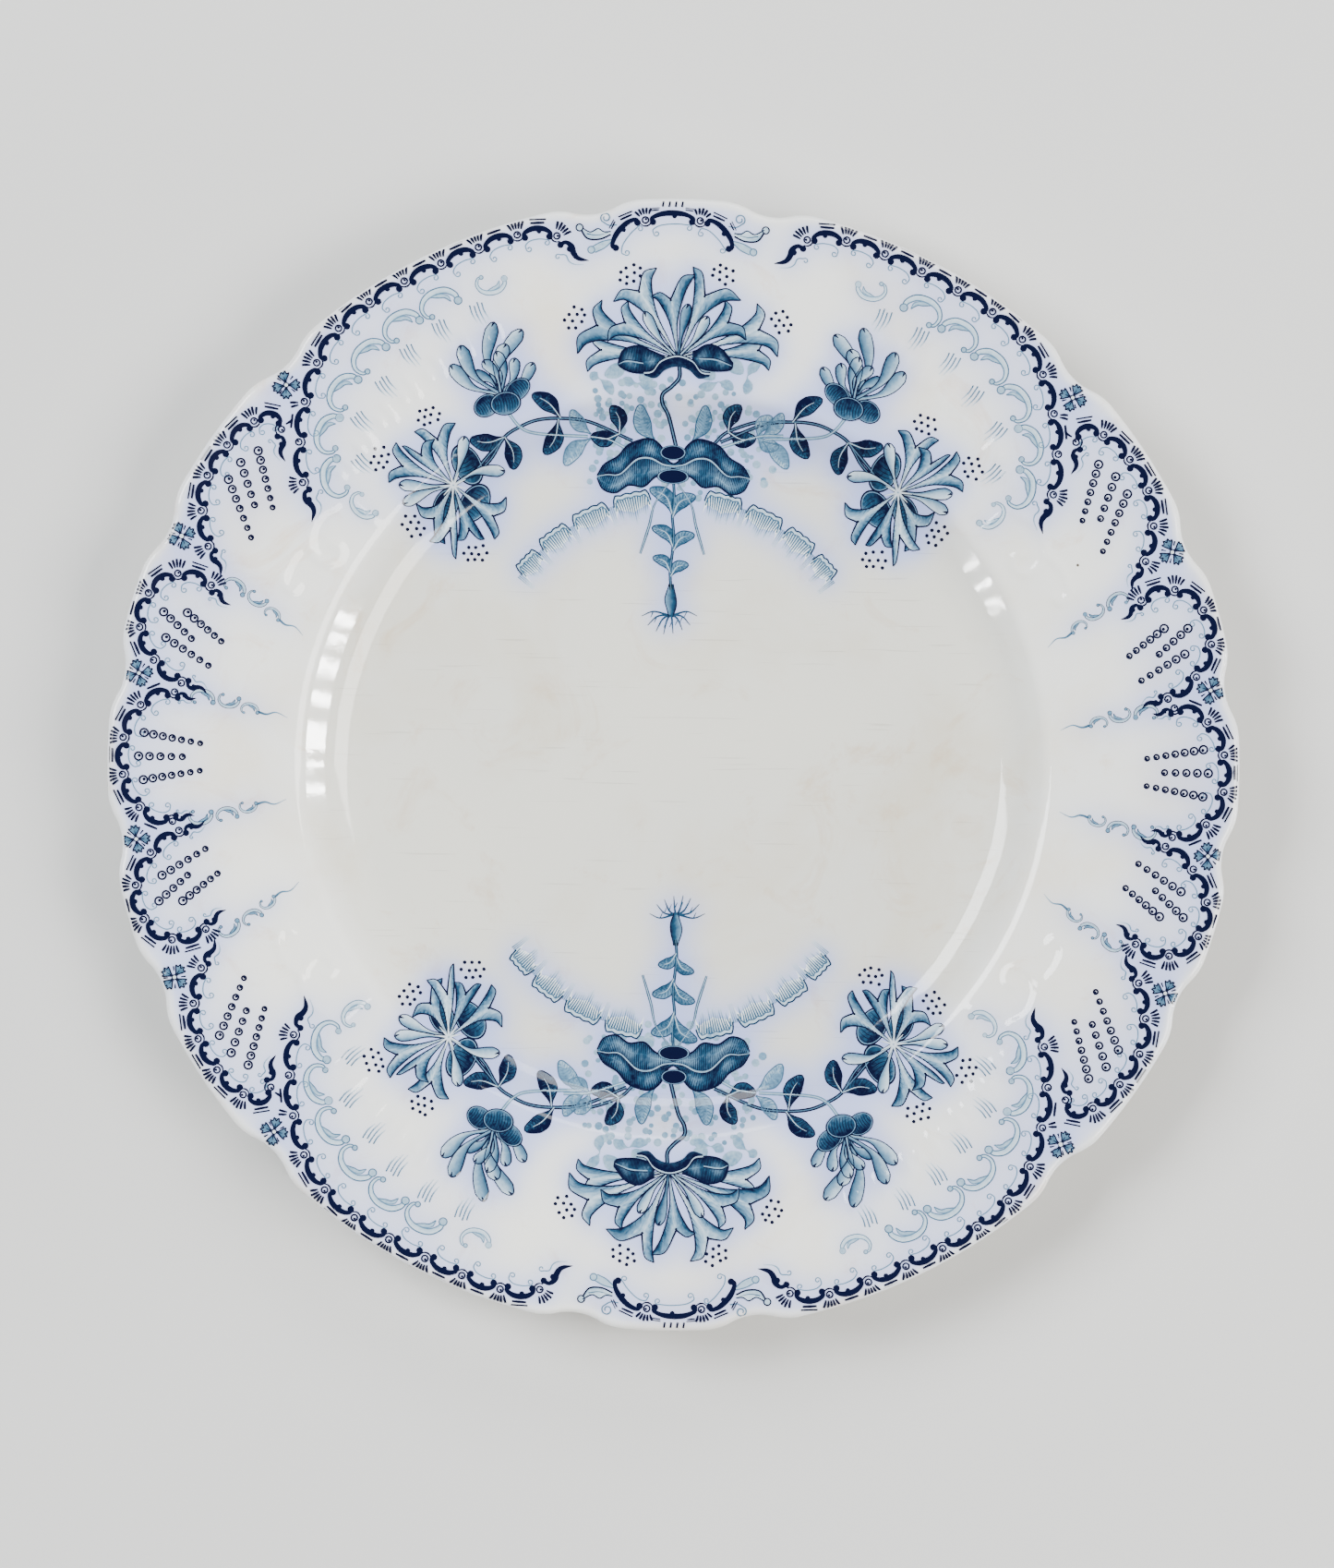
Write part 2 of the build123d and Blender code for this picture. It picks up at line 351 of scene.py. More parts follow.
class Pen:
    """Draws printed shapes on the plan and keeps them for one mesh. Ink runs from 0, pale, to 1, navy."""

    def __init__(self):
        self.plans, self.inks, self.lifts, self.quads = [], [], [], []
        self.count, self.turns, self.level = 0, 0, 0
        self.place = lambda plan: plan
        self.kept_clear = np.array([1e3 + 0j])

    @contextmanager
    def placed(self, at=0, turn=0.0, size=1.0, flip=False):
        """Inside, shapes are drawn in their own frame, which may be mirrored across its x axis first."""
        outer = self.place
        self.place = lambda plan: outer(at + size * np.exp(1j * turn) * (np.conj(plan) if flip else plan))
        yield
        self.place = outer

    def patch(self, grid, ink, layer=1):
        grid = self.place(np.asarray(grid, complex))
        ink = np.broadcast_to(ink, grid.shape)
        reach = np.abs(grid)
        limit = PLATE_R - PRINT_MARGIN - rim_inset(np.degrees(np.angle(grid)))
        grid = grid * np.minimum(1, limit / np.maximum(reach, 1))
        rows, cols = grid.shape
        index = self.count + np.arange(rows * cols).reshape(rows, cols)
        quads = np.stack([index[:-1, :-1], index[:-1, 1:], index[1:, 1:], index[1:, :-1]], -1).reshape(-1, 4)
        across, along = grid[1:, :-1] - grid[:-1, :-1], grid[:-1, 1:] - grid[:-1, :-1]
        area = (np.conj(along) * across).imag
        if area.sum() < 0:
            quads = quads[:, ::-1]
        bleed.add((grid[1:, 1:] + grid[:-1, :-1]) / 2, np.abs(area) * ink[:-1, :-1] / Field.cell**2)
        self.turns += 1
        lift = LIFT + layer * LAYER_LIFT + (self.turns % TURNS) * TURN_LIFT + self.level * LEVEL_LIFT
        self.plans.append(grid.ravel())
        self.inks.append(ink.ravel())
        self.lifts.append(np.full(grid.size, lift))
        self.quads.append(quads)
        self.count += grid.size

    def stroke(self, points, width, ink, layer=3):
        """A band along a smooth line. Width and ink may be lists, spread evenly along it."""
        line = smooth(points, 0.3)
        v = spaced(len(line))
        wide, ink = (np.interp(v, spaced(np.size(x)), np.atleast_1d(x)) for x in (width, ink))
        u = np.linspace(-0.5, 0.5, 1 + int(np.ceil(wide.max() / 0.45)))[:, None]
        self.patch(line + normals(line) * wide * u, ink, layer)

    def between(self, one, other, ink, layer=1, across=5, count=None):
        """A patch from one line to another. Ink may be a function of u across and v along."""
        count = count or max(4, int(max(lengths(one)[-1], lengths(other)[-1]) / 0.4))
        one, other = evenly(one, count), evenly(other, count)
        u, v = spaced(across + 1)[:, None], spaced(count)[None, :]
        ink = ink(u, v) if callable(ink) else ink
        self.patch(one + (other - one) * u, ink, layer)

    def dash(self, points, width, ink=1.0):
        """A stroke that is left out where it would run into another group of the border."""
        spots = self.place(np.asarray(points, complex))
        if np.abs(spots[:, None] - self.kept_clear).min() > CLEARANCE:
            self.stroke(points, width, ink)

    def ring(self, at, radius, width, ink, layer=3, corners=18):
        way = circle(corners)
        self.patch(at + np.stack([(radius - width / 2) * way, (radius + width / 2) * way]), ink, layer)

    def disc(self, at, radius, ink, layer=3, corners=14):
        self.ring(at, radius / 2, radius, ink, layer, corners)

    def piece(self, name, node, material):
        """The mesh of all that was drawn, in place of the node's plain film."""
        plan = np.concatenate(self.plans)
        from_edge = PLATE_R - rim_inset(np.degrees(np.angle(plan))) - np.abs(plan)
        height = face_height(plan) + np.concatenate(self.lifts) + 0.1 * (1 - smoothstep(from_edge, 2, 5))
        points = np.stack([plan.real, plan.imag, height], -1)
        made = mesh_piece(name, points, np.concatenate(self.quads), "ink", np.concatenate(self.inks))
        made.data.materials.append(material)
        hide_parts(node)


def spiral(start, turn, radius, turns, sense=1):
    """A small curl that sets off from start in the direction turn and winds up to the given side."""
    a = np.linspace(0, 2 * np.pi * turns, 18)
    shrink = radius * (1 - 0.62 * a / a[-1])
    way = np.exp(1j * (turn - sense * np.pi / 2))
    centre = start - radius * way
    return list(centre + shrink * way * np.exp(1j * sense * a))


# The lines that the border's scrolls follow, drawn clockwise for the north-west quarter.
def reflected(line):
    """A line of the north-west quarter in the south-west one, still drawn clockwise."""
    return np.conj(np.asarray(line, complex))[::-1]


CORNER_LINE = [-84.5 + 56j, -88 + 66j, -88.4 + 77j, -85.6 + 90j, -80 + 100j, -72 + 107.2j, -62 + 113j]
CORNER_LINE += [-50 + 118.7j, -39 + 122.7j, -29.5 + 123j, -25.4 + 114.7j]
OUTER_LOBE = [-104 + 44.5j, -109 + 48.5j, -111 + 57j, -110.4 + 64j, -106 + 71.8j, -100 + 78j, -93.4 + 79j]
OUTER_LOBE += [-92.4 + 69.5j]
INNER_LOBE = [-109 + 16j, -116 + 17.6j, -122 + 23j, -125 + 31j, -123 + 38j, -117 + 42.6j, -109.5 + 41j]
INNER_LOBE += [-105 + 35j]
MIDDLE_LOBE = [-112.4 - 12.4j, -117.5 - 15.2j, -124 - 12.4j, -128.2 - 5j]
MIDDLE_LOBE += list(reflected(MIDDLE_LOBE))
SPRIG_REACH, SPRIG_ANGLES = 126.4, four_ways((8.8, 24.0, 43.5))
CHAINS = [smooth(line, 0.5) for line in (CORNER_LINE, OUTER_LOBE, INNER_LOBE, MIDDLE_LOBE)]
BORDER = np.concatenate([line for chain_line in CHAINS for line in mirrored(chain_line)])


# Motifs of the border. Each is drawn with x along the border and y towards the edge.
def thick_scroll(pen, half):
    """The navy C with a bulb on each end, hollow towards the centre of the plate."""
    spine = [-half - 1.3j, -half - 0.1 - 0.35j, -0.55 * half + 0.6j, 0.1 + 0.85j, 0.6 * half + 0.55j]
    pen.stroke(spine + [half - 0.35j, half - 0.1 - 1.2j], [0.9, 1.0, 1.25, 1.35, 1.25, 1.0, 0.9], 1.0, 4)
    pen.disc(-half + 0.1 - 1.25j, 0.78, 1.0, 4)
    pen.disc(half - 0.25 - 1.15j, 0.78, 1.0, 4)
    pen.disc(0.4 + 0.15j, 0.55, 1.0, 4)


def thin_scroll(pen, half):
    """The fine curl that echoes each navy C on its inner side."""
    arch = [-half - 3.9j, -half - 0.1 - 3j, -0.6 * half - 2j, 0.2 * half - 1.65j, half - 0.4 - 1.9j]
    pen.stroke(arch, 0.26, 0.56, 2)
    pen.stroke(spiral(-half - 3.9j, -np.pi / 2, 0.7, 1.0), 0.24, 0.56, 2)
    pen.stroke(spiral(half - 0.4 - 1.9j, -0.3, 0.7, 1.0, -1), 0.24, 0.56, 2)


def double_dash(pen, height=2.05):
    slip = rng.uniform(-0.25, 0.25)
    pen.dash([-1.7 + slip + height * 1j, 1.6 + slip + (height + 0.05) * 1j], [0.45, 0.62, 0.45])
    pen.dash([-1.9 + slip + (height + 0.85) * 1j, 2.0 + slip + (height + 0.82) * 1j], 0.36, 0.95)


def eye(pen, reach):
    """A ringed dot, with a smile under it and five dashes that fan out towards the edge."""
    pen.ring(0, 0.72, 0.38, 1.0, 5)
    pen.disc(0.16 + 0.14j, 0.3, 1.0, 5, 8)
    pen.stroke(polar(1.4, np.linspace(-158, -22, 7)), [0.2, 0.42, 0.2], 1.0, 4)
    for k in range(-2, 3):
        top = 0.75 * k + (reach - 0.14 * k * k + rng.uniform(-0.2, 0.1)) * 1j
        foot = 0.55 * k + 1.35j - 0.06j * k * k
        pen.dash([foot, (foot + top) / 2 + 0.08 * k, top + 0.22 * k], [0.32, 0.6, 0.5])


def flame(pen, length):
    """The tail that ends a chain: a bulb, a nub and a long pointed tip, with a thin wave beside it."""
    k = length / 9
    spine = np.array([1.9 - 1.2j, 2.5 + 0.1j, 4.0 + 0.3j, 5.6 - 0.7j, 7.2 - 0.9j, 9.4 + 0.2j]) * k
    pen.stroke(spine, np.array([0.9, 1.0, 1.5, 1.3, 0.9, 0.12]) * (0.4 + 0.6 * k), 1.0, 4)
    pen.disc(1.95 * k - 1.1j, 0.75, 1.0, 4)
    pen.disc(4.2 * k - 0.5j * k, 0.7 * k, 1.0, 4)
    wave = np.array([3.2 - 3j, 4.4 - 2.2j, 5.8 - 2.8j, 7.2 - 2.6j, 9.0 - 1.3j]) * k
    pen.stroke(wave, [0.26, 0.28, 0.12], [0.6, 0.5, 0.3], 2)
    pen.stroke(spiral(wave[0], np.pi, 0.65 * k, 0.9), 0.24, 0.56, 2)


def chain(pen, points, eyes, ends="flames", fans=3.4, last=9.0):
    """Navy scrolls linked by eyes along a line that is drawn clockwise round the plate."""
    line = smooth(points, 0.2)
    along = lengths(line)

    def at(place):
        spot, ahead, behind = np.interp([place, place + 0.4, place - 0.4], along, line)
        return spot, np.angle(ahead - behind)

    gap = along[-1] / (eyes + 1) if ends == "scrolls" else last
    places = np.linspace(gap, along[-1] - gap, eyes)
    near = np.abs(BORDER[:, None] - pen.place(line)).min(axis=1)
    sprigs = polar(SPRIG_REACH, np.array(SPRIG_ANGLES))[:, None] + 1.8 * np.exp(1j * np.arange(0, 6.3, 0.7))
    pen.kept_clear = np.concatenate([BORDER[near > 1], sprigs.ravel()])
    for place in places:
        spot, turn = at(place)
        with pen.placed(spot, turn):
            eye(pen, fans)
    stops = [0.9, *places, along[-1] - 0.9] if ends == "scrolls" else list(places)
    for low, high in zip(stops, stops[1:]):
        start, finish = at(low + 1.7)[0], at(high - 1.7)[0]
        middle = at((low + high) / 2)[0]
        with pen.placed((start + finish) / 2, np.angle(finish - start)):
            half = abs(finish - start) / 2
            sag = ((middle - (start + finish) / 2) / np.exp(1j * np.angle(finish - start))).imag
            with pen.placed(0.9j * sag):
                thick_scroll(pen, half)
                thin_scroll(pen, half - 0.3)
                if ends == "flames":
                    double_dash(pen)
    if ends == "flames":
        for place, first in ((places[0], True), (places[-1], False)):
            spot, turn = at(place)
            with pen.placed(spot, turn + np.pi * first, flip=first):
                flame(pen, last)


def pale_scroll(pen, strength=1.0):
    """An outlined C of pale acanthus, about nine millimetres long, with a cusp in its hollow."""
    line = [-3.2 - 2.2j, -4.3 - 1.5j, -4.6 + 0.4j, -3.2 + 2.2j, -0.6 + 2.9j, 2.2 + 2.3j, 3.9 + 0.5j, 4 - 1j]
    line = smooth(line, 0.25)
    wide = np.interp(spaced(len(line)), [0, 0.2, 0.5, 0.8, 1], [0.5, 0.8, 1.35, 1.3, 0.9])
    left, right = sides(line, wide)
    pen.between(left, right, lambda u, v: strength * (0.18 + 0.14 * u), 1, 2)
    pen.stroke(left, 0.3, 0.66 * strength, 2)
    pen.stroke(right, 0.28, 0.6 * strength, 2)
    for spot, radius in ((-3.1 - 2.1j, 0.6), (4.0 - 1.2j, 0.9)):
        pen.disc(spot, radius, 0.38 * strength)
        pen.ring(spot, radius, 0.26, 0.66 * strength)
    cusp = smooth([-1.6 + 2.2j, 0.6 + 2j, 2.3 + 0.9j, 2.4 - 0.7j])
    under = smooth([-1.6 + 2.2j, 0.2 + 1.2j, 1.4 + 0.7j, 2.4 - 0.7j])
    pen.between(cusp, under, 0.38 * strength, 2, 2)
    pen.stroke(cusp, 0.22, 0.55 * strength)
    pen.stroke(under, 0.26, 0.64 * strength)


def fading_lines(pen):
    for k, long in enumerate((4.4, 5.6, 6.0, 4.8)):
        y = (k - 1.5) * 0.95
        bow = [1j * y + 0.5 * (k % 2), long / 2 + 1j * (y - 0.2), long + 1j * (y + 0.15)]
        pen.stroke(bow, [0.3, 0.28, 0.14], [0.68, 0.55, 0.15], 2)


def streamer(pen):
    """Three pale scrolls that shrink towards the well, and a thin tendril."""
    for spot, size, flip in ((3.6, 0.62, False), (9.9, 0.56, True), (15.3, 0.46, False)):
        with pen.placed(spot + (0.5j if flip else -0.5j), 0.1, size, flip):
            pale_scroll(pen, 1.35)
    pen.stroke([17.4 - 0.6j, 19.4 - 0.7j, 21.6 + 0.3j, 24.6 - 0.3j], [0.6, 0.34, 0.1], [0.7, 0.4], 2)


def sprig(pen):
    """A four-petalled flower with notched petals and a ringed centre."""
    edge = [0.55 + 0.1j, 1.2 + 0.4j, 1.9 + 0.95j, 2.55 + 1.3j, 2.5 + 0.75j, 3.2 + 0.55j, 2.5]
    edge = smooth(edge, 0.12)
    for k in range(4):
        with pen.placed(turn=np.pi * k / 2 + rng.uniform(-0.15, 0.15)):
            pen.between(edge, np.conj(edge), lambda u, v: 0.66 - 0.2 * v + 0.1 * u, 1, 4)
            pen.stroke(edge, 0.3, 1.0)
            pen.stroke(np.conj(edge), 0.3, 1.0)
            pen.stroke([0.8, 2.0], [0.34, 0.1], 0.97)
        with pen.placed(turn=np.pi * (k / 2 + 0.25)):
            pen.stroke([1.5, 2.6], [0.2, 0.4], 1.0)
    pen.disc(0, 0.5, 0.1, 4, 10)
    pen.ring(0, 0.55, 0.28, 1.0, 4, 10)


def bead_row(pen, start, finish, count):
    """Ringed beads that shrink along a row."""
    for k, t in enumerate(spaced(count)):
        spot = start + (finish - start) * t
        radius = 1.12 - 0.42 * k / 6
        pen.ring(spot, radius - 0.2, 0.44, 1.0)
        pen.disc(spot + 0.14 * radius * (1 + 1j), radius * 0.36, 1.0, 3, 8)


def mottle(shape, strength=0.05):
    return strength * rng.standard_normal(shape)


def lobe(pen, base, fork, tip, side, ink, throat):
    """Half of a forked floret: from the base past the fork to one tip that curls back. Side is +1 or -1."""
    way = (fork - base) / abs(fork - base)
    out = 1j * side * way
    belly = base + (fork - base) * 0.66 + out * throat * 0.8
    shoulder = (fork + out * throat * 1.3) * 0.6 + tip * 0.4 - way * 0.75
    outer = smooth([base + out * 0.14, base + (fork - base) * 0.3 + out * 0.36, belly, shoulder, tip])
    crest = fork + (tip - fork) * 0.5 + way * abs(tip - fork) * 0.27
    seam, brow = smooth([base, base + (fork - base) * 0.5 + out * 0.02, fork]), smooth([fork, crest, tip])
    count, split = 30, 18
    inner = np.concatenate([evenly(seam, split), evenly(brow, count - split + 1)[1:]])
    outer = evenly(outer, count)
    u, v = spaced(7)[:, None], spaced(count)[None, :]
    shade = ink + 0.42 * (1 - u) ** 1.5 * smoothstep(v, 0.15, 0.75) + 0.16 * smoothstep(v, 0.55, 0.95)
    pen.patch(outer + (inner - outer) * u, np.clip(shade + mottle((7, count)), 0.03, 1))
    for k in range(5, count - 4, 2):
        pen.stroke([outer[k], outer[k] * 0.62 + inner[k] * 0.38], [0.17, 0.06], 0.8, 2)
    pen.stroke(outer, [0.14, 0.24, 0.28, 0.34, 0.26], 0.95)
    pen.stroke(brow, [0.42, 0.28, 0.24], 0.95)
    pen.stroke(base + (outer[:split] - base) * 0.92, [0.1, 0.16, 0.05], 0.7, 2)


def floret(pen, base, fork, tips, ink, throat):
    """A trumpet flower with two lips that curl back from its fork."""
    side = 1 if ((tips[0] - fork) * np.conj(fork - base)).imag > 0 else -1
    lobe(pen, base, fork, tips[0], side, ink, throat)
    lobe(pen, base, fork, tips[1], -side, ink + 0.06, throat)
    pen.disc(fork - (fork - base) / abs(fork - base) * 0.25, 0.3, 0.95, 4, 8)


def bud(pen, base, tip, width, bend, ink):
    """A closed flower: a thin tube that swells to a round head."""
    spine = bowed(base, tip, bend)
    v = spaced(len(spine))
    wide = width * (0.26 + 0.74 * smoothstep(v, 0.3, 0.8)) * np.sqrt(np.clip((1 - v) / 0.12, 0, 1))
    left, right = sides(spine, wide)
    pen.between(left, right, lambda u, v: np.clip(ink + 0.4 * u**1.5 + 0.1 * (1 - v), 0, 1))
    pen.stroke(left, 0.24, 0.92)
    pen.stroke(right, 0.28, 0.95)
    way = (spine[-1] - spine[-3]) / abs(spine[-1] - spine[-3])
    pen.stroke([spine[-1] - way * 1.2 + 0.3j * way, spine[-1] - way * 0.2], [0.14, 0.6], 0.97, 4)


def petal(pen, base, tip, width, bend, ink, shade=0.2):
    """The flat of a spoon-shaped leaf. Gives back its middle line and its two edges."""
    spine = bowed(base, tip, bend)
    v = spaced(len(spine))
    wide = width * (0.08 + 0.92 * smoothstep(v, 0.02, 0.5)) * np.sqrt(np.clip((1 - v) / 0.36, 0, 1))
    left, right = sides(spine, wide)
    across = spaced(7)[:, None]
    tone = ink + shade * (across - 0.5 + 0.5 * np.sin(np.pi * v)) + mottle((7, len(v)), 0.25 * shade)
    pen.patch(left + (right - left) * across, np.clip(tone, 0, 1), 2)
    return spine, left, right


def leaf(pen, base, tip, width, bend, ink, midrib=0.32):
    """A spoon-shaped leaf with a dark edge, short strokes inside it and mostly a pale midrib."""
    spine, left, right = petal(pen, base, tip, width, bend, ink)
    for k in range(4, len(spine) - 3, 2):
        for edge in (left, right):
            far = edge[min(k + 3, len(spine) - 1)]
            pen.stroke([spine[k] * 0.75 + far * 0.25, spine[k] * 0.1 + far * 0.9], [0.18, 0.1], ink + 0.2)
    for edge in (left, right):
        pen.stroke(edge, 0.28, min(ink + 0.25, 0.97), 4)
    if midrib is not None:
        pen.stroke(spine[: int(len(spine) * 0.8)], [0.24, 0.2, 0.08], midrib, 5)


def cushion(pen, spot, half_long, half_wide, turn, ink):
    """A rounded sepal: a shaded oval with ribs, a pale rim and a dark outline."""
    around = circle(32)
    oval = (half_long * around.real + 1j * half_wide * around.imag) * polar(1, turn)
    rings = spaced(5)[:, None]
    pen.patch(spot + oval * rings, ink + 0.14 * around.imag * rings + mottle((5, 33), 0.03), 2)
    along = polar(half_long, turn)
    for k in range(-4, 5):
        middle = spot + along * k / 5
        tall = half_wide * np.sqrt(1 - (k / 5) ** 2) * 1j * along / half_long
        rib = [middle - 0.8 * tall, middle + along * 0.08, middle + 0.8 * tall]
        pen.stroke(rib, [0.1, 0.2, 0.1], ink + 0.14)
    pen.patch(spot + np.stack([oval * 0.97, oval * 1.02]), 0.5, 4)
    pen.patch(spot + np.stack([oval * 1.02, oval * 1.12]), 1.0, 4)


def stem(pen, points, width, ink=0.92, core=0.62):
    pen.stroke(points, width, ink, 2)
    pen.stroke(points, np.asarray(width) * 0.24, core, 5)


def dots(pen, at, turn):
    """A staggered cluster of navy dots."""
    for j, count in enumerate((3, 4, 3)):
        for i in range(count):
            spot = 1.75 * (i - (count - 1) / 2) + 1.75j * 0.95 * (j - 1)
            spot += rng.uniform(-0.25, 0.25) + 1j * rng.uniform(-0.25, 0.25)
            pen.disc(at + spot * polar(1, turn), 0.43, 1.0, 3, 10)


# The print, group by group
def corner_scrolls(pen):
    """The large lobe of the north-west quarter, whose chain turns inwards at both ends."""
    chain(pen, CORNER_LINE, 11)
    inner = smooth([-80 + 66j, -81.5 + 75j, -78 + 86j, -71 + 95.6j, -62 + 103.4j, -51.5 + 109j])
    places = evenly(inner, 12)
    for k in range(6):
        spot, ahead = places[2 * k] if k < 5 else places[10], places[2 * k + 1]
        with pen.placed(spot, np.angle(ahead - spot)):
            pale_scroll(pen)
    for spot, turn in ((-73.3 + 59.2j, -0.8), (-44.2 + 111.5j, 0.1)):
        with pen.placed(spot, turn, 0.75, True):
            pale_scroll(pen, 0.9)
    for spot in (-48 + 106.9j, -56.8 + 102.7j, -64.3 + 96.7j, -70 + 89.1j, -75.7 + 80.7j, -75.5 + 70.8j):
        with pen.placed(spot, np.angle(-spot)):
            fading_lines(pen)


def side_scrolls(pen):
    """The five lobes of the west side, with beads inside them and streamers between them."""
    chain(pen, MIDDLE_LOBE, 6, last=5.0)
    for line, last in ((OUTER_LOBE, 7.2), (INNER_LOBE, 6.2)):
        chain(pen, line, 6, last=last)
        chain(pen, reflected(line), 6, last=last)
    rows = [
        (-98 + 71.6j, -94.5 + 58.5j, 7),
        (-102 + 68.8j, -98.7 + 59j, 5),
        (-104.8 + 64.8j, -99.4 + 51.4j, 7),
        (-119.4 + 33.7j, -112.9 + 27.6j, 5),
        (-113.9 + 33.6j, -106 + 27.1j, 6),
        (-118.8 + 27.7j, -108.9 + 21.4j, 6),
        (-123.5 + 5.5j, -110.5 + 3.2j, 7),
    ]
    for start, finish, count in rows:
        bead_row(pen, start, finish, count)
        bead_row(pen, start.conjugate(), finish.conjugate(), count)
    bead_row(pen, -124.7, -114.6, 5)
    for start, finish in ((-113.2 + 15j, -90.3 + 9.8j), (-105.3 + 42j, -86.9 + 29j)):
        for up, to in ((start, finish), (start.conjugate(), finish.conjugate())):
            with pen.placed(up, np.angle(to - up), abs(to - up) / 24.6, up.imag < 0):
                streamer(pen)


def edge_scrolls(pen):
    """The small lobe beyond a spray, with leafy curls on each side."""
    left = [-13.4 + 117.6j, -13 + 121.5j, -10.8 + 125j, -5.6 + 127j, 127.7j]
    with pen.placed(-2.2):
        chain(pen, left + [-p.conjugate() for p in left[-2::-1]], 2, "scrolls", 3.0)
        for k in range(4):
            pen.stroke([-2.4 + 1.5 * k + 129.9j, -2.2 + 1.5 * k + 131.2j], 0.42, 0.97)
        dashes = [(4 + 129.1j, -0.12, 0.55), (10.8 + 127.4j, -0.42, 0.9), (13.8 + 125.6j, -1.1, 0.6)]
        for spot, turn, size in dashes:
            for flip in (False, True):
                with pen.placed(-np.conj(spot) if flip else spot, -turn if flip else turn, size):
                    double_dash(pen, 0)
        for flip in (True, False):
            with pen.placed(turn=np.pi * flip, flip=flip):
                upper = smooth([21.4 + 124.9j, 19.2 + 123.8j, 17.4 + 124.6j, 16 + 123.9j, 14.4 + 124j])
                under = smooth([21.4 + 124.3j, 19.8 + 122.3j, 16.9 + 122.2j, 14.4 + 123.3j])
                pen.between(upper, under, lambda u, v: 0.22 + 0.3 * u * (1 - v))
                pen.stroke(upper, 0.3, 0.9)
                pen.stroke(under, 0.4, 0.95)
                pen.stroke([20 + 123.4j, 17.6 + 123.1j, 15 + 123.7j], [0.3, 0.2, 0.1], 0.7)
                pen.disc(21.7 + 124.8j, 0.75, 0.3)
                pen.ring(21.7 + 124.8j, 0.8, 0.32, 0.92, 4)
                upper = smooth([18.9 + 120.3j, 16.5 + 121.6j, 13.7 + 122.3j])
                under = smooth([18 + 119.1j, 15.8 + 120.2j, 13.9 + 122j])
                pen.between(upper, under, 0.34)
                pen.stroke(upper, 0.26, 0.62)
                pen.stroke(under, 0.26, 0.62)
                pen.disc(18.9 + 119.7j, 0.75, 0.36)
                pen.ring(18.9 + 119.7j, 0.8, 0.26, 0.64, 4)
                pen.stroke([13 + 125.6j, 14.8 + 125.4j, 16.6 + 126.4j], 0.28, 0.62, 2)
                pen.stroke(spiral(16.6 + 126.4j, 0.9, 1.25, 1.2), 0.28, 0.62, 2)


